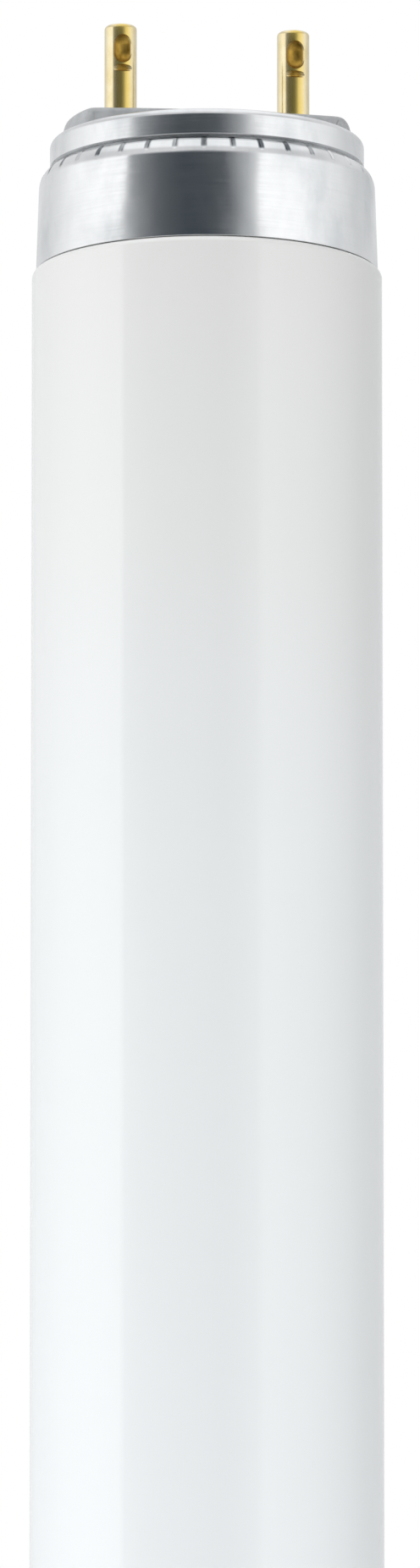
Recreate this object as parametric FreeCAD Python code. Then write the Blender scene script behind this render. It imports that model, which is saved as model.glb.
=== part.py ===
import FreeCAD
import Part
import math
import os

# Straight fluorescent tube with a two-pin metal cap on each end, in millimetres.
# The tube stands along Z with its middle at the origin, and each pair of pins lies along X.
# Each end is modelled once, with z = 0 on the end face that the pins stand on and +z outwards.

# Whole tube
face_to_face = 589.4        # between the two end faces that the pins stand on

# Glass
tube_diameter = 25.4
glass_wall = 0.65
glass_shoulder = 0.45       # rounding where the tube steps in under the cap
neck_length = 4.9           # from the step to the sealed rim
rim_width = 1.0             # flat edge where the flare is sealed to the tube
flare_depth = 10.6          # funnel from the sealed rim down to the stem
flare_wall = 0.9
stem_bore_diameter = 6.6
stem_depth = 2.5            # straight stem below the funnel
stem_press = 6.0            # solid glass below the stem that the wires are pressed in
exhaust_diameter = 3.8
exhaust_bore = 2.2
exhaust_length = 11.4       # from the floor of the stem to the sealed tip
exhaust_tip = 1.9           # cone of that tip

# Cap shell, drawn from aluminium sheet
shell_wall = 0.3
cap_inset = 0.3             # the cap's rim lies this far inside the tube's surface
rim_gap = 0.04              # between the cap's rim and the step in the glass
skirt_height = 6.1
skirt_taper = 0.2           # the skirt draws in by this much towards the shoulder
shoulder_height = 1.4
shoulder_drop = 0.8         # from the skirt in to the neck
crease_height = 0.3
crease_depth = 0.3
neck_height = 1.9
lip_round = 0.5             # the neck's top edge is turned in over the plate
lip_width = 0.1             # flat part of that lip
nick_count = 36             # crimping marks around the shoulder
nick_width = 0.35
nick_reach = 0.75           # share of the shoulder's curve that a mark takes up
nick_margin = 0.05          # share left whole below the crease
nick_overrun = 1.05         # the cut goes on a little past both ends of a mark

# Insulating plate with a raised bridge that carries both pins
plate_fit = 0.02            # clearance of the plate in the neck, on the crease and under the lip
bridge_height = 1.4         # above the neck's lip
bridge_gap = 0.05           # between the lip and the ends of the bridge
bridge_end_width = 8.4
bridge_bow = 0.8            # each long side swells by this much in the middle
bridge_lean = 0.5           # the ends lean in by this much up to the end face
bridge_corner = 1.0
bridge_round = 0.4

# Contact pins
pin_spacing = 12.7
pin_diameter = 2.35
pin_length = 7.1
pin_tip_round = 0.3
pin_shank_diameter = 2.7    # thicker part in the plate, level with the end face
pin_fit = 0.01              # clearance of a shank in the plate
pin_flange_diameter = 3.8
pin_flange = 0.4
pin_tail = 0.8              # below the flange
pin_bore = 1.6
crimp_length = 4.0          # from the tip, where the bore is closed on the wire
crimp_taper = 0.3
dent_start = 0.75           # below the tip
dent_length = 2.3
dent_depth = 0.5
dent_radius = 0.9
notch_start = 3.35          # middle of the short cross notch, below the tip
notch_radius = 0.25
notch_depth = 0.22

# Lead wires
lead_diameter = 0.5
lead_fit = 0.02             # clearance of a wire in the closed part of the bore
lead_end = 0.9              # the wire ends this far below the tip
lead_rise = 7.0             # straight run out of the stem
lead_entry = 1.8            # straight run below a pin's tail
lead_bend = 2.0

# Cement between the glass neck and the cap
cement_thickness = 0.5      # at the cap's rim
cement_fit = 0.01
cement_rim_margin = 0.6     # bare length inside the cap's rim
cement_end_margin = 0.7     # bare length below the sealed rim of the glass

# Levels of one end
neck_rim_z = -bridge_height
crease_top_z = neck_rim_z - neck_height
crease_low_z = crease_top_z - crease_height
skirt_top_z = crease_low_z - shoulder_height
skirt_rim_z = skirt_top_z - skirt_height
glass_step_z = skirt_rim_z - rim_gap
glass_rim_z = glass_step_z + neck_length
stem_top_z = glass_rim_z - flare_depth
stem_floor_z = stem_top_z - stem_depth

# Radii of one end
tube_r = tube_diameter / 2
skirt_rim_r = tube_r - cap_inset
skirt_top_r = skirt_rim_r - skirt_taper
neck_r = skirt_top_r - shoulder_drop
lip_r = neck_r - lip_round - lip_width
glass_neck_r = skirt_rim_r - shell_wall - cement_thickness
stem_r = stem_bore_diameter / 2
exhaust_r = exhaust_diameter / 2
pin_r = pin_diameter / 2
pin_shank_r = pin_shank_diameter / 2
lead_r = lead_diameter / 2
shoulder_r = (shoulder_drop ** 2 + shoulder_height ** 2) / (2 * shoulder_drop)
shoulder_turn = math.degrees(math.atan2(shoulder_height, shoulder_r - shoulder_drop))

ORIGIN = FreeCAD.Vector(0, 0, 0)
X_AXIS = FreeCAD.Vector(1, 0, 0)
Z_AXIS = FreeCAD.Vector(0, 0, 1)


def at(radius, height):
    """Point of a section: distance from the axis, and height."""
    return FreeCAD.Vector(radius, 0, height)


def swing(centre, radius, start, end):
    """Arc of a section about a centre, as the pair (point half way, end point), angles in degrees."""
    points = []
    for angle in ((start + end) / 2, end):
        turn = math.radians(angle)
        points.append(centre + at(radius * math.cos(turn), radius * math.sin(turn)))
    return tuple(points)


def section(start, *steps):
    """Closed face from a start point: a point is a straight run to it, a pair is an arc."""
    edges = []
    here = start
    for step in steps + (start,):
        if isinstance(step, tuple):
            edges.append(Part.Arc(here, step[0], step[1]).toShape())
            here = step[1]
        else:
            edges.append(Part.LineSegment(here, step).toShape())
            here = step
    return Part.Face(Part.Wire(edges))


def turned(face, angle=360):
    """Solid of revolution about Z."""
    return face.revolve(ORIGIN, Z_AXIS, angle)


def skirt_inside_r(height):
    """Inner radius of the tapered skirt at a height."""
    share = (height - skirt_rim_z) / skirt_height
    return skirt_rim_r - shell_wall - skirt_taper * share


def make_glass():
    """Sealed bulb: tube, stepped neck, flare, stem and exhaust tip in one piece of glass."""
    middle_z = -face_to_face / 2
    body_round = at(tube_r - glass_shoulder, glass_step_z - glass_shoulder)
    seat_r = skirt_rim_r - shell_wall
    tip_z = stem_floor_z + exhaust_length
    outside = section(
        at(0, middle_z),
        at(tube_r, middle_z),
        at(tube_r, body_round.z),
        swing(body_round, glass_shoulder, 0, 90),
        at(seat_r, glass_step_z),
        at(glass_neck_r, glass_step_z + seat_r - glass_neck_r),
        at(glass_neck_r, glass_rim_z),
        at(glass_neck_r - rim_width, glass_rim_z),
        at(stem_r, stem_top_z),
        at(stem_r, stem_floor_z),
        at(exhaust_r, stem_floor_z),
        at(exhaust_r, tip_z - exhaust_tip),
        at(0, tip_z),
    )
    bore_r = tube_r - glass_wall
    neck_bore_r = glass_neck_r - glass_wall
    neck_bore_z = glass_step_z - glass_wall / 2
    seal_z = glass_rim_z - flare_wall
    flare_low_r = stem_r + flare_wall
    press_z = stem_floor_z - stem_press
    inside = section(
        at(0, middle_z),
        at(bore_r, middle_z),
        at(bore_r, neck_bore_z - (bore_r - neck_bore_r)),
        at(neck_bore_r, neck_bore_z),
        at(neck_bore_r, seal_z),
        at(flare_low_r, stem_top_z - flare_wall / 2),
        at(flare_low_r, press_z),
        at(exhaust_bore / 2, press_z),
        at(exhaust_bore / 2, tip_z - exhaust_tip),
        at(0, tip_z - exhaust_tip),
    )
    half = turned(outside).cut(turned(inside))
    half.translate(Z_AXIS * (face_to_face / 2))
    return half.fuse(half.mirror(ORIGIN, Z_AXIS)).removeSplitter()


def make_nicks():
    """Row of crimping marks: wedges laid on the shoulder's curve, which run out to a point at each end."""
    middle_turn = shoulder_turn * (1 - nick_margin - nick_reach / 2)
    half_turn = math.radians(shoulder_turn * nick_reach / 2)
    depth = shoulder_r * (1 - math.cos(half_turn))
    half_run = shoulder_r * math.sin(half_turn) * nick_overrun
    centre = at(skirt_top_r - shoulder_r, skirt_top_z)
    middle = swing(centre, shoulder_r, middle_turn, middle_turn)[1]
    outward = (middle - centre).normalize()
    along = at(-outward.z, outward.x)
    foot = middle - outward * depth - along * half_run
    mouth = foot + outward * (2 * depth)
    spread = FreeCAD.Vector(0, nick_width, 0)
    wedge = Part.Face(Part.makePolygon([foot, mouth + spread, mouth - spread, foot]))
    wedge = wedge.extrude(along * (2 * half_run))
    nicks = []
    for number in range(nick_count):
        copy = wedge.copy()
        copy.rotate(ORIGIN, Z_AXIS, number * 360 / nick_count)
        nicks.append(copy)
    return Part.makeCompound(nicks)


def make_shell():
    """Cap shell of one thin wall: skirt, rounded shoulder, crease, and neck with a turned-in lip."""
    centre = at(skirt_top_r - shoulder_r, skirt_top_z)
    crease_z = (crease_top_z + crease_low_z) / 2
    crease_r = neck_r - crease_depth
    outer_shoulder = swing(centre, shoulder_r, 0, shoulder_turn)
    inner_shoulder = swing(centre, shoulder_r - shell_wall, shoulder_turn, 0)
    inner_shoulder_top = swing(centre, shoulder_r - shell_wall, shoulder_turn, shoulder_turn)[1]
    lip_centre = at(neck_r - lip_round, neck_rim_z - lip_round)
    wall = section(
        at(skirt_rim_r, skirt_rim_z),
        at(skirt_top_r, skirt_top_z),
        outer_shoulder,
        at(crease_r, crease_z),
        at(neck_r, crease_top_z),
        at(neck_r, lip_centre.z),
        swing(lip_centre, lip_round, 0, 90),
        at(lip_r, neck_rim_z),
        at(lip_r, neck_rim_z - shell_wall),
        at(lip_centre.x, neck_rim_z - shell_wall),
        swing(lip_centre, lip_round - shell_wall, 90, 0),
        at(neck_r - shell_wall, crease_top_z + shell_wall),
        at(crease_r - shell_wall, crease_z),
        inner_shoulder_top,
        inner_shoulder,
        at(skirt_rim_r - shell_wall, skirt_rim_z),
    )
    return turned(wall).cut(make_nicks())


def make_bridge():
    """Raised bridge: bowed long sides, ends that lean in, rounded corners and a rounded top edge."""
    height = -disc_top_z()
    end_r = lip_r - bridge_gap
    corner_y = bridge_end_width / 2
    corner_x = math.sqrt(end_r ** 2 - corner_y ** 2)
    bow_r = (corner_x ** 2 + bridge_bow ** 2) / (2 * bridge_bow)
    bow_y = corner_y + bridge_bow - bow_r
    bridge = Part.makeCone(end_r, end_r - bridge_lean, height, at(0, -height))
    for middle_y in (bow_y, -bow_y):
        middle = FreeCAD.Vector(0, middle_y, -height)
        bridge = bridge.common(Part.makeCylinder(bow_r, height, middle))
    upright = [edge for edge in bridge.Edges if edge.BoundBox.ZLength > height / 2]
    bridge = bridge.makeFillet(bridge_corner, upright)
    top = [edge for edge in bridge.Edges if edge.BoundBox.ZMin > -height / 2]
    return bridge.makeFillet(bridge_round, top)


def plate_under_z():
    """Underside of the plate, level with the middle of the crease that it sits on."""
    return (crease_top_z + crease_low_z) / 2 + plate_fit


def disc_top_z():
    """Top of the plate's disc, held down by the lip."""
    return neck_rim_z - shell_wall - plate_fit


def pin_places():
    """Pins by their side of the axis."""
    return {"left": -pin_spacing / 2, "right": pin_spacing / 2}


def make_plate():
    """Insulating plate: a disc held between crease and lip, and the bridge that rises out of it."""
    disc_r = neck_r - shell_wall - plate_fit
    seat_r = disc_r - crease_depth
    bevel = lip_round - shell_wall
    disc = turned(section(
        at(0, plate_under_z()),
        at(seat_r, plate_under_z()),
        at(disc_r, crease_top_z + shell_wall + plate_fit),
        at(disc_r, disc_top_z() - bevel),
        at(disc_r - bevel, disc_top_z()),
        at(0, disc_top_z()),
    ))
    plate = disc.fuse(make_bridge()).removeSplitter()
    hole_height = -plate_under_z()
    for place in pin_places().values():
        foot = FreeCAD.Vector(place, 0, plate_under_z())
        plate = plate.cut(Part.makeCylinder(pin_shank_r + pin_fit, hole_height, foot))
    return plate


def make_pin():
    """Hollow pin on the Z axis: flange under the plate, bore closed on the wire by two crimps."""
    flange_z = plate_under_z() - pin_flange
    tail_z = flange_z - pin_tail
    tip_centre = at(pin_r - pin_tip_round, pin_length - pin_tip_round)
    closed_r = lead_r + lead_fit
    closed_z = pin_length - crimp_length
    blind_z = pin_length - lead_end + lead_fit
    pin = turned(section(
        at(0, pin_length),
        at(pin_r - pin_tip_round, pin_length),
        swing(tip_centre, pin_tip_round, 90, 0),
        at(pin_r, 0),
        at(pin_shank_r, 0),
        at(pin_shank_r, plate_under_z()),
        at(pin_flange_diameter / 2, plate_under_z()),
        at(pin_flange_diameter / 2, flange_z),
        at(pin_r, flange_z),
        at(pin_r, tail_z),
        at(pin_bore / 2, tail_z),
        at(pin_bore / 2, closed_z - crimp_taper),
        at(closed_r, closed_z),
        at(closed_r, blind_z),
        at(0, blind_z),
    ))
    for side in (0, 180):
        for cutter in (long_dent(), cross_notch()):
            cutter.rotate(ORIGIN, Z_AXIS, side)
            pin = pin.cut(cutter)
    return pin


def long_dent():
    """Long crimp dent: a round-ended punch laid along the pin, sunk into its front."""
    front = FreeCAD.Vector(0, dent_depth - pin_r - dent_radius, 0)
    top_z = pin_length - dent_start - dent_radius
    low_z = pin_length - dent_start - dent_length + dent_radius
    run = Part.makeCylinder(dent_radius, top_z - low_z, front + Z_AXIS * low_z)
    for level in (low_z, top_z):
        run = run.fuse(Part.makeSphere(dent_radius, front + Z_AXIS * level))
    return run.removeSplitter()


def cross_notch():
    """Short notch across the front of a pin, below the long dent."""
    middle = FreeCAD.Vector(-pin_r, notch_depth - pin_r - notch_radius, pin_length - notch_start)
    return Part.makeCylinder(notch_radius, pin_diameter, middle, X_AXIS)


def make_lead(place):
    """Wire from the floor of the stem, bent out to a pin and up inside it."""
    side = math.copysign(1, place)
    start_x = side * (exhaust_r + stem_r) / 2
    entry_z = plate_under_z() - pin_flange - pin_tail - lead_entry
    route = [
        at(start_x, stem_floor_z),
        at(start_x, stem_floor_z + lead_rise),
        at(place, entry_z),
        at(place, pin_length - lead_end),
    ]
    edges = []
    here = route[0]
    for before, corner, after in zip(route, route[1:], route[2:]):
        arriving = (corner - before).normalize()
        leaving = (after - corner).normalize()
        turn = arriving.getAngle(leaving)
        reach = lead_bend * math.tan(turn / 2)
        bend_start = corner - arriving * reach
        bend_end = corner + leaving * reach
        inward = (leaving - arriving).normalize()
        bend_middle = corner + inward * (lead_bend / math.cos(turn / 2) - lead_bend)
        edges.append(Part.LineSegment(here, bend_start).toShape())
        edges.append(Part.Arc(bend_start, bend_middle, bend_end).toShape())
        here = bend_end
    edges.append(Part.LineSegment(here, route[-1]).toShape())
    ring = Part.Wire(Part.makeCircle(lead_r, route[0], Z_AXIS))
    return Part.Wire(edges).makePipeShell([ring], True, True)


def make_cement():
    """Ring of cement between the glass neck and the inside of the skirt."""
    low_z = skirt_rim_z + cement_rim_margin
    high_z = glass_rim_z - cement_end_margin
    inner_r = glass_neck_r + cement_fit
    return turned(section(
        at(inner_r, low_z),
        at(skirt_inside_r(low_z) - cement_fit, low_z),
        at(skirt_inside_r(high_z) - cement_fit, high_z),
        at(inner_r, high_z),
    ))


def make_end():
    """All pieces of one end, by name."""
    pieces = {
        "cap_shell": make_shell(),
        "pin_plate": make_plate(),
        "cement": make_cement(),
    }
    for side, place in pin_places().items():
        pin = make_pin()
        pin.translate(X_AXIS * place)
        pieces["pin_" + side] = pin
        pieces["lead_" + side] = make_lead(place)
    return pieces


def main():
    """Place both ends on the glass and write one file for each piece."""
    nodes = {"glass_tube": make_glass()}
    for name, shape in make_end().items():
        upper = shape.copy()
        upper.translate(Z_AXIS * (face_to_face / 2))
        lower = upper.copy()
        lower.rotate(ORIGIN, X_AXIS, 180)
        nodes["upper_" + name] = upper
        nodes["lower_" + name] = lower
    os.makedirs("parts", exist_ok=True)
    for name, shape in nodes.items():
        shape.exportStep("parts/" + name + ".step")


main()
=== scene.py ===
import math

import bpy
from mathutils import Matrix, Vector


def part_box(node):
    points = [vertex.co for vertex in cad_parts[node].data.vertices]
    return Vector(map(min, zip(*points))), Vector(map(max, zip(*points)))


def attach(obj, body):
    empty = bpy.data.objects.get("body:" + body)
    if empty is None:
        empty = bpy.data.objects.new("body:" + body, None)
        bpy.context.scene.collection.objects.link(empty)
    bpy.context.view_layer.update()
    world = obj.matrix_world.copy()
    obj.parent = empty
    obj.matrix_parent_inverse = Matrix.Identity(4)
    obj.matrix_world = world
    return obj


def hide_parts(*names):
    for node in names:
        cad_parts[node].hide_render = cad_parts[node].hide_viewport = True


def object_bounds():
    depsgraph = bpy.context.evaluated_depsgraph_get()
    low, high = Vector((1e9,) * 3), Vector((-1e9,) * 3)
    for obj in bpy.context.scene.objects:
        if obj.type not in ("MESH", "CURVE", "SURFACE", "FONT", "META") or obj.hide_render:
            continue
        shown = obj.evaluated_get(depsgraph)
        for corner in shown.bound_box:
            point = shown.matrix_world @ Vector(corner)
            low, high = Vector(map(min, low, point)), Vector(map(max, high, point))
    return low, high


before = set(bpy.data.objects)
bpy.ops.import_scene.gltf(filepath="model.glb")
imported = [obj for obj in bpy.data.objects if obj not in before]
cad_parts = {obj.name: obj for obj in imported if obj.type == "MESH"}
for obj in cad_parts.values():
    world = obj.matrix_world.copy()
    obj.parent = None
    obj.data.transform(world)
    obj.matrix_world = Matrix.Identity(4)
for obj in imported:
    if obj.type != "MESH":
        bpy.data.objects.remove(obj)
cad_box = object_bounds()

MM = 0.001
BODY = "root"

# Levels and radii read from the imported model
glass_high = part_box("glass_tube")[1]
shell_low, shell_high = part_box("upper_cap_shell")
plate_low, plate_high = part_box("upper_pin_plate")
pin_low, pin_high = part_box("upper_pin_left")
TUBE_R = glass_high.x
GLASS_RIM_Z = glass_high.z
SKIRT_RIM_Z = shell_low.z
SKIRT_RIM_R = shell_high.x
NECK_RIM_Z = shell_high.z
PLATE_UNDER_Z = plate_low.z
END_FACE_Z = plate_high.z
PIN_TIP_Z = pin_high.z
PIN_TAIL_Z = pin_low.z
PIN_X = -(pin_low.x + pin_high.x) / 2
PIN_FLANGE_R = (pin_high.x - pin_low.x) / 2

# Glass
GLASS_SHOULDER = 0.45 * MM      # rounding where the tube steps in under the cap
GLASS_NECK_R = 11.6 * MM
GLASS_STEP_Z = SKIRT_RIM_Z - 0.04 * MM
GLASS_RIM_WIDTH = 1.0 * MM
FLARE_DEPTH = 10.6 * MM
STEM_R = 3.3 * MM
STEM_DEPTH = 2.5 * MM
EXHAUST_R = 1.9 * MM
EXHAUST_LENGTH = 11.4 * MM
EXHAUST_TIP = 1.9 * MM
EXHAUST_POINT_R = 0.05 * MM
GLASS_SIDES = 192
GLASS_ROWS = 28                 # rows of faces along the straight tube
SHOULDER_STEPS = 6

# Cap shell
SHELL_WALL = 0.3 * MM
SKIRT_HEIGHT = 6.1 * MM
SKIRT_TAPER = 0.2 * MM
SHOULDER_HEIGHT = 1.4 * MM
SHOULDER_DROP = 0.8 * MM
SHOULDER_ROWS = 10
CREASE_HEIGHT = 0.3 * MM
CREASE_DEPTH = 0.3 * MM
LIP_ROUND = 0.5 * MM            # the neck's top edge is turned in over the plate
LIP_WIDTH = 0.1 * MM
RIM_ROUND = 0.06 * MM           # rounding of the sheet's cut edge
EDGE_STEPS = 3
LIP_STEPS = 8
NICK_COUNT = 36
NICK_DEPTH = 0.12 * MM
NICK_SLACK = 0.01               # part of a pitch within which a point counts as on a nick
SIDES_PER_NICK = 16
NICK_FIRST_ROW = 2
SHELL_SIDES = NICK_COUNT * SIDES_PER_NICK
SKIRT_TOP_Z = SKIRT_RIM_Z + SKIRT_HEIGHT
SKIRT_TOP_R = SKIRT_RIM_R - SKIRT_TAPER
CREASE_LOW_Z = SKIRT_TOP_Z + SHOULDER_HEIGHT
CREASE_TOP_Z = CREASE_LOW_Z + CREASE_HEIGHT
CREASE_Z = (CREASE_LOW_Z + CREASE_TOP_Z) / 2
NECK_R = SKIRT_TOP_R - SHOULDER_DROP
LIP_R = NECK_R - LIP_ROUND - LIP_WIDTH
CREASE_R = NECK_R - CREASE_DEPTH
SHOULDER_R = (SHOULDER_DROP ** 2 + SHOULDER_HEIGHT ** 2) / (2 * SHOULDER_DROP)
SHOULDER_TURN = math.degrees(math.atan2(SHOULDER_HEIGHT, SHOULDER_R - SHOULDER_DROP))

# Pin plate and its bridge
PLATE_FIT = 0.02 * MM
DISC_TOP_Z = NECK_RIM_Z - SHELL_WALL - PLATE_FIT
BRIDGE_GAP = 0.05 * MM
BRIDGE_END_WIDTH = 8.4 * MM
BRIDGE_BOW = 0.8 * MM
BRIDGE_LEAN = 0.5 * MM          # the ends lean in by this much up to the end face
BRIDGE_CORNER = 1.0 * MM
BRIDGE_ROUND = 0.4 * MM
BRIDGE_SINK = 0.4 * MM          # the bridge starts this far inside the disc that it is joined to
BOW_FACETS = 24
CORNER_FACETS = 6
BRIDGE_FACET = 0.1 * MM         # shorter facets of the outline are closed up
ROUND_STEPS = 6
PLATE_SIDES = 192

# Pins
PIN_R = 1.175 * MM
PIN_TIP_ROUND = 0.3 * MM
PIN_SHANK_R = 1.35 * MM
PIN_FIT = 0.01 * MM
PIN_FLANGE = 0.4 * MM
PIN_BORE_R = 0.8 * MM
PIN_SIDES = 72
CRIMP_LENGTH = 4.0 * MM
CRIMP_TAPER = 0.3 * MM
CLOSED_BORE_R = 0.27 * MM
LEAD_END = 0.88 * MM
DENT_START = 0.75 * MM
DENT_LENGTH = 2.3 * MM
DENT_DEPTH = 0.5 * MM
DENT_R = 0.9 * MM
NOTCH_START = 3.35 * MM
NOTCH_R = 0.25 * MM
NOTCH_DEPTH = 0.22 * MM
TOOL_SIDES = 48                 # of the punch and the bar that press dent and notch

# Where materials change
COAT_FADE = 100 * MM            # the coating gains its full white over this length
MARK_CORE = 0.08                # dirt and painted shade in a crimping mark, in parts of a pitch from its middle
MARK_FADE = 0.13
MARK_START = 0.45 * MM          # above the skirt's top
MARK_FULL = 0.65 * MM
MARK_END = 0.02 * MM            # to each side of the crease's lower edge
# Painted shade in the crease: how dark it is, then its core and fade to each side
CREASE_SHADE = 0.12
CREASE_SHADE_CORE = 0.06 * MM
CREASE_SHADE_FADE = 0.15 * MM
TARNISH_START = 0.02 * MM       # below a pin's surface
TARNISH_FULL = 0.16 * MM
TIP_CLEAN = 0.45 * MM           # below a pin's tip
TIP_FADE = 0.6 * MM
SIDE_CORE = 0.97                # strip down a pin's front and back where a dark reflection is painted, in parts of its radius from the middle
SIDE_FADE = 0.80
SIDE_REFLECTION_DARKENING = 0.85
SIDE_DULLNESS = 0.6
PLATE_SHADE = 0.5               # painted shade on a pin where it leaves the plate
PLATE_SHADE_HEIGHT = 0.4 * MM
NOISE_ROUGHNESS = 0.55

# Camera, fitted to the photograph
VIEW_AZIMUTH = -9.0
VIEW_ELEVATION = -11.35
VIEW_DISTANCE = 1.33
VIEW_LENS = 423.0
VIEW_HEIGHT = 245.8 * MM        # the level that the middle of the picture looks at
VIEW_SIDESTEP = 0.22 * MM
VIEW_SENSOR = 36
VIEW_FAR = 200

# Studio, with bearings in degrees to the right of the camera
FLOOR_SIZE = 160
LAMP_COLOUR = (0.965, 0.985, 1)
SOFT_COLOUR = (0.97, 0.985, 1)  # light all round, for matt surfaces
SOFT_STRENGTH = 0.55
GLOSS_STRENGTH = 1.6
WALLS = (                       # brightness that gloss reflects, by bearing
    (-180, 0.51), (-130, 0.60), (-92, 0.84), (-59, 0.90),      # large softbox on the left
    (-55, 0.26), (-35, 0.09), (-14, 0.045), (12, 0.055),       # dark room behind the camera
    (33, 0.45), (37, 0.85), (72, 0.86),                        # softbox on the right
    (95, 0.69), (122, 0.50), (180, 0.51),                      # far side
)
WALL_TINT = 0.009               # the walls are this much bluer than grey
UPPER_COLOUR = (0.55, 0.555, 0.565)
UPPER_LOW, UPPER_HIGH = 0.36, 0.50      # sine of elevation, from walls to upper walls
CEILING_COLOUR = (0.78, 0.79, 0.80)
CEILING_LOW, CEILING_HIGH = 0.72, 0.84  # and from upper walls to ceiling

SMOOTH_ANGLE = math.radians(24)
WELD = 1e-7                     # points this close become one
NEAR = 1e-6                     # slack when points are picked by place


# Modelling helpers

def deselect_all():
    bpy.ops.object.select_all(action="DESELECT")


def pick(piece, wanted):
    """Select the vertices that a test on their place picks, and leave the piece in edit mode."""
    bpy.ops.mesh.select_mode(type="VERT")
    bpy.ops.mesh.select_all(action="DESELECT")
    bpy.ops.object.mode_set(mode="OBJECT")
    for vertex in piece.data.vertices:
        vertex.select = wanted(vertex.co)
    bpy.ops.object.mode_set(mode="EDIT")


def arc(centre_r, centre_z, radius, start, end, steps):
    """Rings (radius, height) along an arc of a section, both ends included, angles in degrees."""
    rings = []
    for number in range(steps + 1):
        turn = math.radians(start + (end - start) * number / steps)
        rings.append((centre_r + radius * math.cos(turn), centre_z + radius * math.sin(turn)))
    return rings


def lathe(name, rings, sides, capped=False):
    """Turned piece: a circle extruded from ring to ring, its two ends capped or run together."""
    deselect_all()
    last_r, last_z = rings[0]
    bpy.ops.mesh.primitive_circle_add(
        vertices=sides, radius=last_r, location=(0, 0, last_z),
        fill_type="NGON" if capped else "NOTHING")
    piece = bpy.context.object
    piece.name = name
    piece.data.name = name
    bpy.ops.object.transform_apply(location=True, rotation=False, scale=False)
    bpy.ops.object.mode_set(mode="EDIT")
    bpy.ops.mesh.select_mode(type="EDGE")
    bpy.ops.mesh.select_all(action="SELECT")
    for ring_r, ring_z in rings[1:]:
        bpy.ops.mesh.extrude_edges_move(TRANSFORM_OT_translate={"value": (0, 0, ring_z - last_z)})
        scale = ring_r / last_r
        bpy.ops.transform.resize(value=(scale, scale, 1), center_override=(0, 0, ring_z))
        last_r, last_z = ring_r, ring_z
    if capped:
        bpy.ops.mesh.edge_face_add()
    bpy.ops.mesh.select_all(action="SELECT")
    bpy.ops.mesh.remove_doubles(threshold=WELD)
    bpy.ops.mesh.normals_make_consistent(inside=False)
    bpy.ops.object.mode_set(mode="OBJECT")
    return piece


def combine(piece, tool, operation):
    """Join or cut a piece by another one, which is used up."""
    modifier = piece.modifiers.new(operation.lower(), "BOOLEAN")
    modifier.operation = operation
    modifier.solver = "EXACT"
    modifier.object = tool
    deselect_all()
    bpy.context.view_layer.objects.active = piece
    bpy.ops.object.modifier_apply(modifier=modifier.name)
    bpy.data.objects.remove(tool)


def smooth(piece):
    """Smooth shading that keeps the true edges, with large faces left flat."""
    deselect_all()
    piece.select_set(True)
    bpy.context.view_layer.objects.active = piece
    bpy.ops.object.shade_smooth_by_angle(angle=SMOOTH_ANGLE)
    modifier = piece.modifiers.new("flat_faces", "WEIGHTED_NORMAL")
    modifier.keep_sharp = True
    bpy.ops.object.modifier_apply(modifier=modifier.name)


def copy_of(piece, name, move):
    """Copy with a mesh of its own, moved within its mesh."""
    copy = piece.copy()
    copy.data = piece.data.copy()
    copy.name = name
    copy.data.name = name
    bpy.context.collection.objects.link(copy)
    copy.data.transform(move)
    return copy


# Pieces

def make_glass():
    """Sealed bulb: straight tube, stepped necks, and a flare, stem and exhaust tip at each end."""
    stem_top = GLASS_RIM_Z - FLARE_DEPTH
    stem_floor = stem_top - STEM_DEPTH
    tip_z = stem_floor + EXHAUST_LENGTH
    round_r = TUBE_R - GLASS_SHOULDER
    round_z = GLASS_STEP_Z - GLASS_SHOULDER
    seat_r = SKIRT_RIM_R - SHELL_WALL
    upper = [
        (EXHAUST_POINT_R, tip_z),
        (EXHAUST_R, tip_z - EXHAUST_TIP),
        (EXHAUST_R, stem_floor),
        (STEM_R, stem_floor),
        (STEM_R, stem_top),
        (GLASS_NECK_R - GLASS_RIM_WIDTH, GLASS_RIM_Z),
        (GLASS_NECK_R, GLASS_RIM_Z),
        (GLASS_NECK_R, GLASS_STEP_Z + seat_r - GLASS_NECK_R),
        (seat_r, GLASS_STEP_Z),
    ]
    upper += arc(round_r, round_z, GLASS_SHOULDER, 90, 0, SHOULDER_STEPS)
    straight = []
    for row in range(1, GLASS_ROWS):
        straight.append((TUBE_R, round_z - 2 * round_z * row / GLASS_ROWS))
    lower = [(ring_r, -ring_z) for ring_r, ring_z in reversed(upper)]
    return lathe("glass_bulb", upper + straight + lower, GLASS_SIDES, capped=True)


def make_shell():
    """Cap shell with its inner wall: skirt, round shoulder, crease, and neck with a turned-in lip."""
    centre_r = SKIRT_TOP_R - SHOULDER_R
    inner_r = SHOULDER_R - SHELL_WALL
    outer_shoulder = arc(centre_r, SKIRT_TOP_Z, SHOULDER_R, 0, SHOULDER_TURN, SHOULDER_ROWS)
    inner_shoulder = arc(centre_r, SKIRT_TOP_Z, inner_r, SHOULDER_TURN, 0, SHOULDER_ROWS)
    lip_r = NECK_R - LIP_ROUND
    lip_z = NECK_RIM_Z - LIP_ROUND
    rings = arc(SKIRT_RIM_R - RIM_ROUND, SKIRT_RIM_Z + RIM_ROUND, RIM_ROUND, -90, 0, EDGE_STEPS)
    rings += outer_shoulder
    rings += [(CREASE_R, CREASE_Z), (NECK_R, CREASE_TOP_Z)]
    rings += arc(lip_r, lip_z, LIP_ROUND, 0, 90, LIP_STEPS)
    rings += [(LIP_R, NECK_RIM_Z), (LIP_R, NECK_RIM_Z - SHELL_WALL)]
    rings += arc(lip_r, lip_z, LIP_ROUND - SHELL_WALL, 90, 0, LIP_STEPS)
    rings += [
        (NECK_R - SHELL_WALL, CREASE_TOP_Z + SHELL_WALL),
        (CREASE_R - SHELL_WALL, CREASE_Z),
    ]
    rings += inner_shoulder
    rings += [(SKIRT_RIM_R - SHELL_WALL, SKIRT_RIM_Z), rings[0]]
    shell = lathe("upper_cap", rings, SHELL_SIDES)
    press_nicks(shell, outer_shoulder)
    return shell


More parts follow.
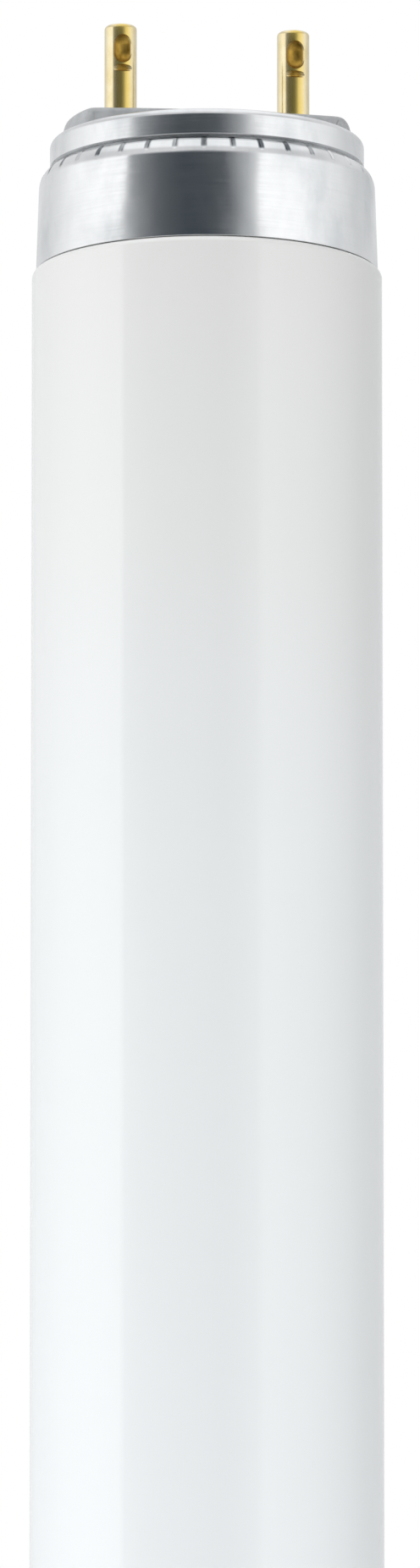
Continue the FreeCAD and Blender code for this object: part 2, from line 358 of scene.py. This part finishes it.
def press_nicks(shell, shoulder):
    """Crimping marks: one column of the shoulder in sixteen is pressed in, deepest at its middle."""
    pitch = 2 * math.pi / NICK_COUNT
    bpy.context.view_layer.objects.active = shell
    bpy.ops.object.mode_set(mode="EDIT")
    for row in range(NICK_FIRST_ROW + 1, SHOULDER_ROWS):
        ring_r, ring_z = shoulder[row]
        off_middle = 2 * (row - NICK_FIRST_ROW) / (SHOULDER_ROWS - NICK_FIRST_ROW) - 1
        scale = 1 - NICK_DEPTH * (1 - off_middle ** 2) / ring_r

        def on_nick(place):
            turns = math.atan2(place.y, place.x) / pitch
            on_ring = abs(place.z - ring_z) < NEAR and abs(place.xy.length - ring_r) < NEAR
            return on_ring and abs(turns - round(turns)) < NICK_SLACK

        pick(shell, on_nick)
        bpy.ops.transform.resize(value=(scale, scale, 1), center_override=(0, 0, ring_z))
    bpy.ops.object.mode_set(mode="OBJECT")


def corner_round(end_r, bow_r, bow_y):
    """Centre of the corner round that touches an end of this radius and the bowed side."""
    inner_end = end_r - BRIDGE_CORNER
    inner_bow = bow_r - BRIDGE_CORNER
    round_y = (inner_end ** 2 - inner_bow ** 2 + bow_y ** 2) / (2 * bow_y)
    return Vector((math.sqrt(inner_end ** 2 - round_y ** 2), round_y, 0))


def bridge_planes():
    """Planes (point, normal) that touch the bridge: bowed sides, and corners leaning with the ends."""
    end_r = LIP_R - BRIDGE_GAP
    corner_y = BRIDGE_END_WIDTH / 2
    corner_x = math.sqrt(end_r ** 2 - corner_y ** 2)
    bow_r = (corner_x ** 2 + BRIDGE_BOW ** 2) / (2 * BRIDGE_BOW)
    bow_y = corner_y + BRIDGE_BOW - bow_r
    low = corner_round(end_r, bow_r, bow_y)
    lean = corner_round(end_r - BRIDGE_LEAN, bow_r, bow_y) - low
    bow_turn = math.atan2(low.x, low.y - bow_y)
    end_turn = math.atan2(low.x, low.y)
    low.z = DISC_TOP_Z
    planes = []
    for number in range(BOW_FACETS + 1):
        turn = bow_turn * (2 * number / BOW_FACETS - 1)
        normal = Vector((math.sin(turn), math.cos(turn), 0))
        planes.append((Vector((0, bow_y, 0)) + normal * bow_r, normal))
    for number in range(1, CORNER_FACETS):
        turn = bow_turn + (end_turn - bow_turn) * number / CORNER_FACETS
        across = Vector((math.sin(turn), math.cos(turn), 0))
        point = low + across * BRIDGE_CORNER
        normal = across - Vector((0, 0, across.dot(lean) / (END_FACE_Z - DISC_TOP_Z)))
        for side in (1, -1):
            mirror = Vector((side, 1, 1))
            planes.append((point * mirror, (normal * mirror).normalized()))
    half_turn = Matrix.Rotation(math.pi, 3, "Z")
    return planes + [(half_turn @ point, half_turn @ normal) for point, normal in planes]


def make_bridge():
    """Raised bridge: a cone trimmed to the outline, with its top edge rounded over."""
    low_z = DISC_TOP_Z - BRIDGE_SINK
    height = END_FACE_Z - low_z
    deselect_all()
    top_r = LIP_R - BRIDGE_GAP - BRIDGE_LEAN
    low_r = top_r + BRIDGE_LEAN * height / (END_FACE_Z - DISC_TOP_Z)
    bpy.ops.mesh.primitive_cone_add(
        vertices=PLATE_SIDES, radius1=low_r, radius2=top_r, depth=height,
        location=(0, 0, low_z + height / 2))
    bridge = bpy.context.object
    bpy.ops.object.transform_apply(location=True, rotation=False, scale=False)
    bpy.ops.object.mode_set(mode="EDIT")
    for point, normal in bridge_planes():
        bpy.ops.mesh.select_all(action="SELECT")
        bpy.ops.mesh.bisect(
            plane_co=point, plane_no=normal, use_fill=True, clear_outer=True, threshold=WELD)
    bpy.ops.mesh.select_all(action="SELECT")
    bpy.ops.mesh.remove_doubles(threshold=BRIDGE_FACET)
    pick(bridge, lambda place: place.z > END_FACE_Z - NEAR)
    bpy.ops.mesh.select_mode(type="EDGE")
    bpy.ops.mesh.bevel(offset=BRIDGE_ROUND, segments=ROUND_STEPS, clamp_overlap=False)
    bpy.ops.object.mode_set(mode="OBJECT")
    return bridge


def make_plate():
    """Insulating plate: disc held by crease and lip, bridge that rises out of it, two pin holes."""
    disc_r = NECK_R - SHELL_WALL - PLATE_FIT
    bevel = LIP_ROUND - SHELL_WALL
    plate = lathe("upper_plate", [
        (disc_r - CREASE_DEPTH, PLATE_UNDER_Z),
        (disc_r, CREASE_TOP_Z + SHELL_WALL + PLATE_FIT),
        (disc_r, DISC_TOP_Z - bevel),
        (disc_r - bevel, DISC_TOP_Z),
    ], PLATE_SIDES, capped=True)
    combine(plate, make_bridge(), "UNION")
    height = END_FACE_Z - PLATE_UNDER_Z
    for side in (-1, 1):
        deselect_all()
        bpy.ops.mesh.primitive_cylinder_add(
            vertices=PIN_SIDES, radius=PIN_SHANK_R + PIN_FIT, depth=2 * height,
            location=(side * PIN_X, 0, END_FACE_Z - height / 2))
        combine(plate, bpy.context.object, "DIFFERENCE")
    return plate


def make_punch():
    """Round-nosed punch that leaves the long dent in the front of a pin."""
    low_z = PIN_TIP_Z - DENT_START - DENT_LENGTH + DENT_R
    deselect_all()
    bpy.ops.mesh.primitive_uv_sphere_add(
        segments=TOOL_SIDES, ring_count=TOOL_SIDES // 2, radius=DENT_R,
        location=(0, DENT_DEPTH - PIN_R - DENT_R, low_z))
    punch = bpy.context.object
    bpy.ops.object.transform_apply(location=True, rotation=False, scale=False)
    bpy.ops.object.mode_set(mode="EDIT")
    pick(punch, lambda place: place.z > low_z + NEAR)
    bpy.ops.transform.translate(value=(0, 0, DENT_LENGTH - 2 * DENT_R))
    bpy.ops.object.mode_set(mode="OBJECT")
    return punch


def make_notcher():
    """Round bar that leaves the short notch across the front of a pin."""
    deselect_all()
    bpy.ops.mesh.primitive_cylinder_add(
        vertices=TOOL_SIDES, radius=NOTCH_R, depth=4 * PIN_R, rotation=(0, math.pi / 2, 0),
        location=(0, NOTCH_DEPTH - PIN_R - NOTCH_R, PIN_TIP_Z - NOTCH_START))
    bpy.ops.object.transform_apply(location=True, rotation=True, scale=False)
    return bpy.context.object


def make_pin():
    """Hollow pin on the axis: round tip, shank and flange in the plate, crimped front and back."""
    tip_r = PIN_R - PIN_TIP_ROUND
    flange_z = PLATE_UNDER_Z - PIN_FLANGE
    closed_z = PIN_TIP_Z - CRIMP_LENGTH
    rings = arc(tip_r, PIN_TIP_Z - PIN_TIP_ROUND, PIN_TIP_ROUND, 90, 0, ROUND_STEPS)
    rings += [
        (PIN_R, END_FACE_Z),
        (PIN_SHANK_R, END_FACE_Z),
        (PIN_SHANK_R, PLATE_UNDER_Z),
        (PIN_FLANGE_R, PLATE_UNDER_Z),
        (PIN_FLANGE_R, flange_z),
        (PIN_R, flange_z),
        (PIN_R, PIN_TAIL_Z),
        (PIN_BORE_R, PIN_TAIL_Z),
        (PIN_BORE_R, closed_z - CRIMP_TAPER),
        (CLOSED_BORE_R, closed_z),
        (CLOSED_BORE_R, PIN_TIP_Z - LEAD_END),
    ]
    pin = lathe("pin_pattern", rings, PIN_SIDES, capped=True)
    half_turn = Matrix.Rotation(math.pi, 4, "Z")
    for tool in (make_punch(), make_notcher()):
        opposite = copy_of(tool, "opposite_tool", half_turn)
        combine(pin, tool, "DIFFERENCE")
        combine(pin, opposite, "DIFFERENCE")
    return pin


# Materials

def new_material(name):
    """Empty node material with a Principled shader, as (material, nodes, links, shader)."""
    material = bpy.data.materials.new(name)
    material.use_nodes = True
    nodes = material.node_tree.nodes
    return material, nodes, material.node_tree.links, nodes["Principled BSDF"]


def object_place(nodes, links, scale=(1, 1, 1)):
    """Object coordinates through a Mapping node."""
    coordinates = nodes.new("ShaderNodeTexCoord")
    mapping = nodes.new("ShaderNodeMapping")
    mapping.inputs["Scale"].default_value = scale
    links.new(coordinates.outputs["Object"], mapping.inputs["Vector"])
    return mapping.outputs["Vector"]


def noise(nodes, links, vector, scale, detail):
    """Noise texture's value on a vector."""
    texture = nodes.new("ShaderNodeTexNoise")
    texture.inputs["Scale"].default_value = scale
    texture.inputs["Detail"].default_value = detail
    texture.inputs["Roughness"].default_value = NOISE_ROUGHNESS
    links.new(vector, texture.inputs["Vector"])
    return texture.outputs["Fac"]


def ramp(nodes, links, value, stops):
    """Colour ramp from (position, colour) stops."""
    node = nodes.new("ShaderNodeValToRGB")
    elements = node.color_ramp.elements
    while len(elements) < len(stops):
        elements.new(0.5)
    for element, (position, colour) in zip(elements, stops):
        element.position = position
        element.color = (*colour, 1)
    links.new(value, node.inputs["Fac"])
    return node.outputs["Color"]


def spread(nodes, links, value, low, high, new_low, new_high):
    """Value mapped from one range to another."""
    node = nodes.new("ShaderNodeMapRange")
    node.inputs["From Min"].default_value = low
    node.inputs["From Max"].default_value = high
    node.inputs["To Min"].default_value = new_low
    node.inputs["To Max"].default_value = new_high
    links.new(value, node.inputs["Value"])
    return node.outputs["Result"]


def math_node(nodes, links, operation, first, second=None):
    """Math node on one or two values, each a socket or a number."""
    node = nodes.new("ShaderNodeMath")
    node.operation = operation
    for socket, value in zip(node.inputs, (first, second)):
        if isinstance(value, (int, float)):
            socket.default_value = value
        elif value is not None:
            links.new(value, socket)
    return node.outputs["Value"]


def mix(nodes, links, factor, first, second):
    """Colour mix of two colours, each a socket or a triple."""
    node = nodes.new("ShaderNodeMix")
    node.data_type = "RGBA"
    links.new(factor, node.inputs["Factor"])
    for socket, value in zip((node.inputs[6], node.inputs[7]), (first, second)):
        if isinstance(value, tuple):
            socket.default_value = (*value, 1)
        else:
            links.new(value, socket)
    return node.outputs[2]


def bump(nodes, links, height, distance, strength, under=None):
    """Bump from a height value, over another bump or the plain surface."""
    node = nodes.new("ShaderNodeBump")
    node.inputs["Distance"].default_value = distance
    node.inputs["Strength"].default_value = strength
    links.new(height, node.inputs["Height"])
    if under:
        links.new(under, node.inputs["Normal"])
    return node.outputs["Normal"]


def split(nodes, links, vector):
    """The three parts of a vector."""
    node = nodes.new("ShaderNodeSeparateXYZ")
    links.new(vector, node.inputs["Vector"])
    return node.outputs["X"], node.outputs["Y"], node.outputs["Z"]


def coated_glass():
    """White powder coating behind clear glass: thinner and warm grey near the caps, faintly cloudy."""
    material, nodes, links, shader = new_material("coated_glass")
    place = object_place(nodes, links)
    height = math_node(nodes, links, "ABSOLUTE", split(nodes, links, place)[2])
    from_cap = spread(nodes, links, height, GLASS_STEP_Z, GLASS_STEP_Z - COAT_FADE, 0, 1)
    coat = ramp(nodes, links, from_cap, [
        (0.0, (0.72, 0.71, 0.69)),
        (0.12, (0.74, 0.735, 0.72)),
        (0.45, (0.79, 0.80, 0.795)),
        (1.0, (0.825, 0.837, 0.838)),
    ])
    clouds = noise(nodes, links, object_place(nodes, links, (1, 1, 0.35)), 110, 3)
    cloudy = spread(nodes, links, clouds, 0.3, 0.7, 0, 0.05)
    clouded = mix(nodes, links, cloudy, coat, (0.70, 0.71, 0.72))
    links.new(clouded, shader.inputs["Base Color"])
    smears = noise(nodes, links, object_place(nodes, links, (1, 1, 0.3)), 160, 6)
    links.new(spread(nodes, links, smears, 0.35, 0.7, 0.04, 0.10), shader.inputs["Roughness"])
    draw_lines = noise(nodes, links, object_place(nodes, links, (1, 1, 0.02)), 420, 2)
    links.new(bump(nodes, links, draw_lines, 0.01 * MM, 0.15), shader.inputs["Normal"])
    shader.inputs["IOR"].default_value = 1.52
    shader.inputs["Specular IOR Level"].default_value = 0.75
    return material


def crimp_dirt_and_shade(nodes, links):
    """Dirt and painted shade in the crimping marks, and painted shade in the crease, from 0 to 1."""
    across, along, height = split(nodes, links, object_place(nodes, links))
    angle = math_node(nodes, links, "ARCTAN2", along, across)
    turns = math_node(nodes, links, "DIVIDE", angle, 2 * math.pi / NICK_COUNT)
    off_mark = math_node(nodes, links, "PINGPONG", turns, 0.5)
    in_mark = spread(nodes, links, off_mark, MARK_FADE, MARK_CORE, 0, 1)
    patches = noise(nodes, links, object_place(nodes, links, (1, 1, 0.2)), 300, 3)
    uneven = spread(nodes, links, patches, 0.38, 0.6, 0.1, 1)
    in_mark = math_node(nodes, links, "MULTIPLY", in_mark, uneven)
    level = math_node(nodes, links, "ABSOLUTE", height)
    above = spread(nodes, links, level, SKIRT_TOP_Z + MARK_START, SKIRT_TOP_Z + MARK_FULL, 0, 1)
    below = spread(nodes, links, level, CREASE_LOW_Z + MARK_END, CREASE_LOW_Z - MARK_END, 0, 1)
    on_shoulder = math_node(nodes, links, "MULTIPLY", above, below)
    # Dirt and painted shade darken the crimping marks
    mark_dirt_and_shade = math_node(nodes, links, "MULTIPLY", in_mark, on_shoulder)
    # Painted shade along the crease
    from_crease = math_node(nodes, links, "SUBTRACT", level, CREASE_Z)
    off_crease = math_node(nodes, links, "ABSOLUTE", from_crease)
    crease_shade = spread(nodes, links, off_crease, CREASE_SHADE_FADE, CREASE_SHADE_CORE, 0, CREASE_SHADE)
    return math_node(nodes, links, "MAXIMUM", mark_dirt_and_shade, crease_shade)


def drawn_aluminium():
    """Bright drawn sheet: fine turning lines round the cap, smudges, dulled patches, and painted shade
    in the crease and, with dirt, in the crimping marks.
    """
    material, nodes, links, shader = new_material("drawn_aluminium")
    lines = noise(nodes, links, object_place(nodes, links, (0.02, 0.02, 1)), 9000, 3)
    smudges = noise(nodes, links, object_place(nodes, links, (1, 1, 0.6)), 260, 6)
    base = ramp(nodes, links, smudges, [
        (0.30, (0.75, 0.755, 0.755)),
        (0.52, (0.69, 0.695, 0.70)),
        (0.70, (0.59, 0.60, 0.605)),
    ])
    on_line = spread(nodes, links, lines, 0.3, 0.7, 0, 0.12)
    lined = mix(nodes, links, on_line, base, (0.52, 0.53, 0.54))
    # Near-black colour painted into the marks and the crease stands in for their shade, with dirt in
    # the marks
    dirt_and_shade = crimp_dirt_and_shade(nodes, links)
    links.new(mix(nodes, links, dirt_and_shade, lined, (0.10, 0.11, 0.12)), shader.inputs["Base Color"])
    dull = spread(nodes, links, smudges, 0.38, 0.70, 0.11, 0.23)
    lines_dull = spread(nodes, links, lines, 0.3, 0.7, -0.02, 0.03)
    links.new(math_node(nodes, links, "ADD", dull, lines_dull), shader.inputs["Roughness"])
    waves = noise(nodes, links, object_place(nodes, links, (1, 1, 0.7)), 190, 2)
    wavy = bump(nodes, links, waves, 0.1 * MM, 0.8)
    links.new(bump(nodes, links, lines, 0.002 * MM, 0.25, wavy), shader.inputs["Normal"])
    tangent = nodes.new("ShaderNodeTangent")
    tangent.direction_type = "RADIAL"
    tangent.axis = "Z"
    links.new(tangent.outputs["Tangent"], shader.inputs["Tangent"])
    shader.inputs["Metallic"].default_value = 1
    shader.inputs["Anisotropic"].default_value = 0.7
    return material


def plate_moulding():
    """Mid-grey moulded insulator with a fine grain."""
    material, nodes, links, shader = new_material("plate_moulding")
    grain = noise(nodes, links, object_place(nodes, links), 1400, 5)
    base = ramp(nodes, links, grain, [
        (0.35, (0.33, 0.335, 0.34)),
        (0.65, (0.41, 0.415, 0.42)),
    ])
    links.new(base, shader.inputs["Base Color"])
    links.new(spread(nodes, links, grain, 0.3, 0.7, 0.35, 0.5), shader.inputs["Roughness"])
    links.new(bump(nodes, links, grain, 0.02 * MM, 0.2), shader.inputs["Normal"])
    return material


def pin_brass():
    """Pale brass pins, tarnished in the crimps, with a painted dark reflection down the front and back
    and painted shade at the plate.
    """
    material, nodes, links, shader = new_material("pin_brass")
    across, along, height = split(nodes, links, object_place(nodes, links))
    off_middle = math_node(nodes, links, "ABSOLUTE", across)
    from_pin = math_node(nodes, links, "SUBTRACT", off_middle, PIN_X)
    across_square = math_node(nodes, links, "POWER", from_pin, 2)
    along_square = math_node(nodes, links, "POWER", along, 2)
    squares = math_node(nodes, links, "ADD", across_square, along_square)
    reach = math_node(nodes, links, "SQRT", squares)
    pressed = spread(nodes, links, reach, PIN_R - TARNISH_START, PIN_R - TARNISH_FULL, 0, 1)
    # Painted dark reflection: a deeper, darker brass down the front and back of each pin
    off_axis = math_node(nodes, links, "ABSOLUTE", along)
    side_fade, side_core = SIDE_FADE * PIN_R, SIDE_CORE * PIN_R
    dark_reflection_strip = spread(nodes, links, off_axis, side_fade, side_core, 0, SIDE_REFLECTION_DARKENING)
    level = math_node(nodes, links, "ABSOLUTE", height)
    below_tip = spread(nodes, links, level, PIN_TIP_Z - TIP_CLEAN, PIN_TIP_Z - TIP_FADE, 0, 1)
    # Painted shade on each pin just above the plate
    shade_top = END_FACE_Z + PLATE_SHADE_HEIGHT
    plate_shade = spread(nodes, links, level, shade_top, END_FACE_Z, 0, PLATE_SHADE)
    pressed = math_node(nodes, links, "MULTIPLY", pressed, below_tip)
    # Tarnish in the dents and painted shade at the plate share one mask and one colour
    tarnish_and_shade = math_node(nodes, links, "MAXIMUM", pressed, plate_shade)
    stains = noise(nodes, links, object_place(nodes, links, (1, 1, 0.5)), 1500, 5)
    bright = ramp(nodes, links, stains, [
        (0.35, (0.77, 0.68, 0.46)),
        (0.70, (0.69, 0.57, 0.31)),
    ])
    tarnish_and_shade_colour = ramp(nodes, links, stains, [
        (0.35, (0.24, 0.13, 0.015)),
        (0.65, (0.54, 0.34, 0.07)),
    ])
    with_painted_reflection = mix(nodes, links, dark_reflection_strip, bright, (0.68, 0.50, 0.11))
    links.new(mix(nodes, links, tarnish_and_shade, with_painted_reflection, tarnish_and_shade_colour), shader.inputs["Base Color"])
    side_dull = math_node(nodes, links, "MULTIPLY", dark_reflection_strip, SIDE_DULLNESS)
    dull = math_node(nodes, links, "MAXIMUM", tarnish_and_shade, side_dull)
    links.new(spread(nodes, links, dull, 0, 1, 0.18, 0.38), shader.inputs["Roughness"])
    links.new(bump(nodes, links, stains, 0.02 * MM, 0.15), shader.inputs["Normal"])
    shader.inputs["Metallic"].default_value = 1
    return material


def cap_cement():
    """Baked resin cement, tan and gritty."""
    material, nodes, links, shader = new_material("cap_cement")
    grit = noise(nodes, links, object_place(nodes, links), 1800, 6)
    base = ramp(nodes, links, grit, [
        (0.35, (0.36, 0.26, 0.16)),
        (0.65, (0.56, 0.43, 0.29)),
    ])
    links.new(base, shader.inputs["Base Color"])
    links.new(spread(nodes, links, grit, 0.3, 0.7, 0.7, 0.9), shader.inputs["Roughness"])
    links.new(bump(nodes, links, grit, 0.05 * MM, 0.5), shader.inputs["Normal"])
    return material


def lead_wire():
    """Copper-clad wire with drawing lines along it."""
    material, nodes, links, shader = new_material("lead_wire")
    lines = noise(nodes, links, object_place(nodes, links, (1, 1, 0.05)), 5000, 4)
    base = ramp(nodes, links, lines, [
        (0.35, (0.62, 0.45, 0.36)),
        (0.65, (0.74, 0.60, 0.50)),
    ])
    links.new(base, shader.inputs["Base Color"])
    links.new(spread(nodes, links, lines, 0.3, 0.7, 0.25, 0.4), shader.inputs["Roughness"])
    shader.inputs["Metallic"].default_value = 1
    return material


def paint(piece, material):
    """Give a piece one material."""
    piece.data.materials.clear()
    piece.data.materials.append(material)


# Studio

def pale_floor():
    """Pale matt floor, faintly mottled."""
    material, nodes, links, shader = new_material("pale_floor")
    mottle = noise(nodes, links, object_place(nodes, links), 3, 4)
    base = ramp(nodes, links, mottle, [
        (0.35, (0.84, 0.84, 0.84)),
        (0.65, (0.87, 0.87, 0.87)),
    ])
    links.new(base, shader.inputs["Base Color"])
    shader.inputs["Roughness"].default_value = 0.9
    return material


def make_floor():
    """Floor under the lower pins."""
    deselect_all()
    bpy.ops.mesh.primitive_plane_add(size=FLOOR_SIZE, location=(0, 0, cad_box[0].z))
    floor = bpy.context.object
    floor.name = "studio_floor"
    bpy.ops.object.transform_apply(location=True, rotation=False, scale=False)
    paint(floor, pale_floor())


def make_world():
    """Studio: white behind the object, soft light all round, softboxes and a dark side for gloss."""
    world = bpy.data.worlds.new("studio")
    bpy.context.scene.world = world
    world.use_nodes = True
    nodes, links = world.node_tree.nodes, world.node_tree.links
    nodes.clear()
    coordinates = nodes.new("ShaderNodeTexCoord")
    turn = nodes.new("ShaderNodeMapping")
    turn.inputs["Rotation"].default_value = (0, 0, math.radians(90 - VIEW_AZIMUTH))
    links.new(coordinates.outputs["Generated"], turn.inputs["Vector"])
    around = nodes.new("ShaderNodeTexGradient")
    around.gradient_type = "RADIAL"
    links.new(turn.outputs["Vector"], around.inputs["Vector"])
    stops = []
    for degrees, level in WALLS:
        stops.append((degrees / 360 + 0.5, (level - WALL_TINT, level, level + WALL_TINT)))
    walls = ramp(nodes, links, around.outputs["Fac"], stops)
    upward = split(nodes, links, turn.outputs["Vector"])[2]
    upper = spread(nodes, links, upward, UPPER_LOW, UPPER_HIGH, 0, 1)
    ceiling = spread(nodes, links, upward, CEILING_LOW, CEILING_HIGH, 0, 1)
    surround = mix(nodes, links, upper, walls, UPPER_COLOUR)
    surround = mix(nodes, links, ceiling, surround, CEILING_COLOUR)
    light_path = nodes.new("ShaderNodeLightPath")
    seen = math_node(nodes, links, "MAXIMUM", light_path.outputs["Is Camera Ray"],
                     light_path.outputs["Is Transmission Ray"])
    soft = nodes.new("ShaderNodeBackground")
    soft.inputs["Color"].default_value = (*SOFT_COLOUR, 1)
    soft.inputs["Strength"].default_value = SOFT_STRENGTH
    gloss = nodes.new("ShaderNodeBackground")
    gloss.inputs["Strength"].default_value = GLOSS_STRENGTH
    links.new(surround, gloss.inputs["Color"])
    white = nodes.new("ShaderNodeBackground")
    white.inputs["Strength"].default_value = 1
    white.inputs["Color"].default_value = (1, 1, 1, 1)
    lit = nodes.new("ShaderNodeMixShader")
    links.new(light_path.outputs["Is Glossy Ray"], lit.inputs["Fac"])
    links.new(soft.outputs["Background"], lit.inputs[1])
    links.new(gloss.outputs["Background"], lit.inputs[2])
    shown = nodes.new("ShaderNodeMixShader")
    links.new(seen, shown.inputs["Fac"])
    links.new(lit.outputs["Shader"], shown.inputs[1])
    links.new(white.outputs["Background"], shown.inputs[2])
    output = nodes.new("ShaderNodeOutputWorld")
    links.new(shown.outputs["Shader"], output.inputs["Surface"])


def bearing(azimuth, elevation):
    """Unit vector from the object towards a bearing, as the camera's own is measured."""
    a, e = math.radians(azimuth), math.radians(elevation)
    return Vector((math.sin(a) * math.cos(e), -math.cos(a) * math.cos(e), math.sin(e)))


def make_lamp(name, azimuth, elevation, width, strength):
    """Wide soft lamp far off, even over the whole floor, seen in no picture and no reflection."""
    data = bpy.data.lights.new(name, "SUN")
    data.angle = math.radians(width)
    data.energy = strength
    data.color = LAMP_COLOUR
    lamp = bpy.data.objects.new(name, data)
    bpy.context.collection.objects.link(lamp)
    lamp.rotation_mode = "QUATERNION"
    lamp.rotation_quaternion = bearing(azimuth, elevation).to_track_quat("Z", "Y")
    lamp.visible_camera = False
    lamp.visible_glossy = False


def make_camera():
    """Long lens below the cap's level, at the photograph's angle."""
    data = bpy.data.cameras.new("camera")
    data.lens = VIEW_LENS
    data.sensor_fit = "AUTO"
    data.sensor_width = VIEW_SENSOR
    data.clip_end = VIEW_FAR
    camera = bpy.data.objects.new("camera", data)
    bpy.context.collection.objects.link(camera)
    back = bearing(VIEW_AZIMUTH, VIEW_ELEVATION)
    turn = math.radians(VIEW_AZIMUTH)
    right = Vector((math.cos(turn), math.sin(turn), 0))
    aim = Vector((0, 0, VIEW_HEIGHT)) + right * VIEW_SIDESTEP
    camera.location = aim + back * VIEW_DISTANCE
    camera.rotation_mode = "QUATERNION"
    camera.rotation_quaternion = back.to_track_quat("Z", "Y")
    bpy.context.scene.camera = camera


# Assembly

def stand_for(piece, node, material):
    """Finish a piece that takes a node's place."""
    smooth(piece)
    paint(piece, material)
    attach(piece, BODY)
    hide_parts(node)


def make_object():
    """All pieces of the tube, with both ends from one pattern."""
    aluminium = drawn_aluminium()
    moulding = plate_moulding()
    brass = pin_brass()
    stand_for(make_glass(), "glass_tube", coated_glass())
    over = Matrix.Rotation(math.pi, 4, "X")
    shell = make_shell()
    plate = make_plate()
    pin = make_pin()
    stand_for(copy_of(shell, "lower_cap", over), "lower_cap_shell", aluminium)
    stand_for(shell, "upper_cap_shell", aluminium)
    stand_for(copy_of(plate, "lower_plate", over), "lower_pin_plate", moulding)
    stand_for(plate, "upper_pin_plate", moulding)
    for side, place in (("left", -PIN_X), ("right", PIN_X)):
        sideways = Matrix.Translation((place, 0, 0))
        for end, move in (("upper", sideways), ("lower", over @ sideways)):
            copy = copy_of(pin, end + "_contact_" + side, move)
            stand_for(copy, end + "_pin_" + side, brass)
    bpy.data.objects.remove(pin)
    cement = cap_cement()
    wire = lead_wire()
    for end in ("upper", "lower"):
        paint(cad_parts[end + "_cement"], cement)
        for side in ("left", "right"):
            paint(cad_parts[end + "_lead_" + side], wire)


def make_studio():
    """Floor, world, lamps and camera."""
    make_floor()
    make_world()
    make_lamp("key_lamp", VIEW_AZIMUTH - 95, 20, 45, 1.25)
    make_lamp("front_lamp", VIEW_AZIMUTH - 15, 5, 38, 1.42)
    make_lamp("fill_lamp", VIEW_AZIMUTH + 40, 25, 38, 0.55)
    make_camera()
    bpy.context.scene.view_settings.view_transform = "Standard"


make_object()
make_studio()
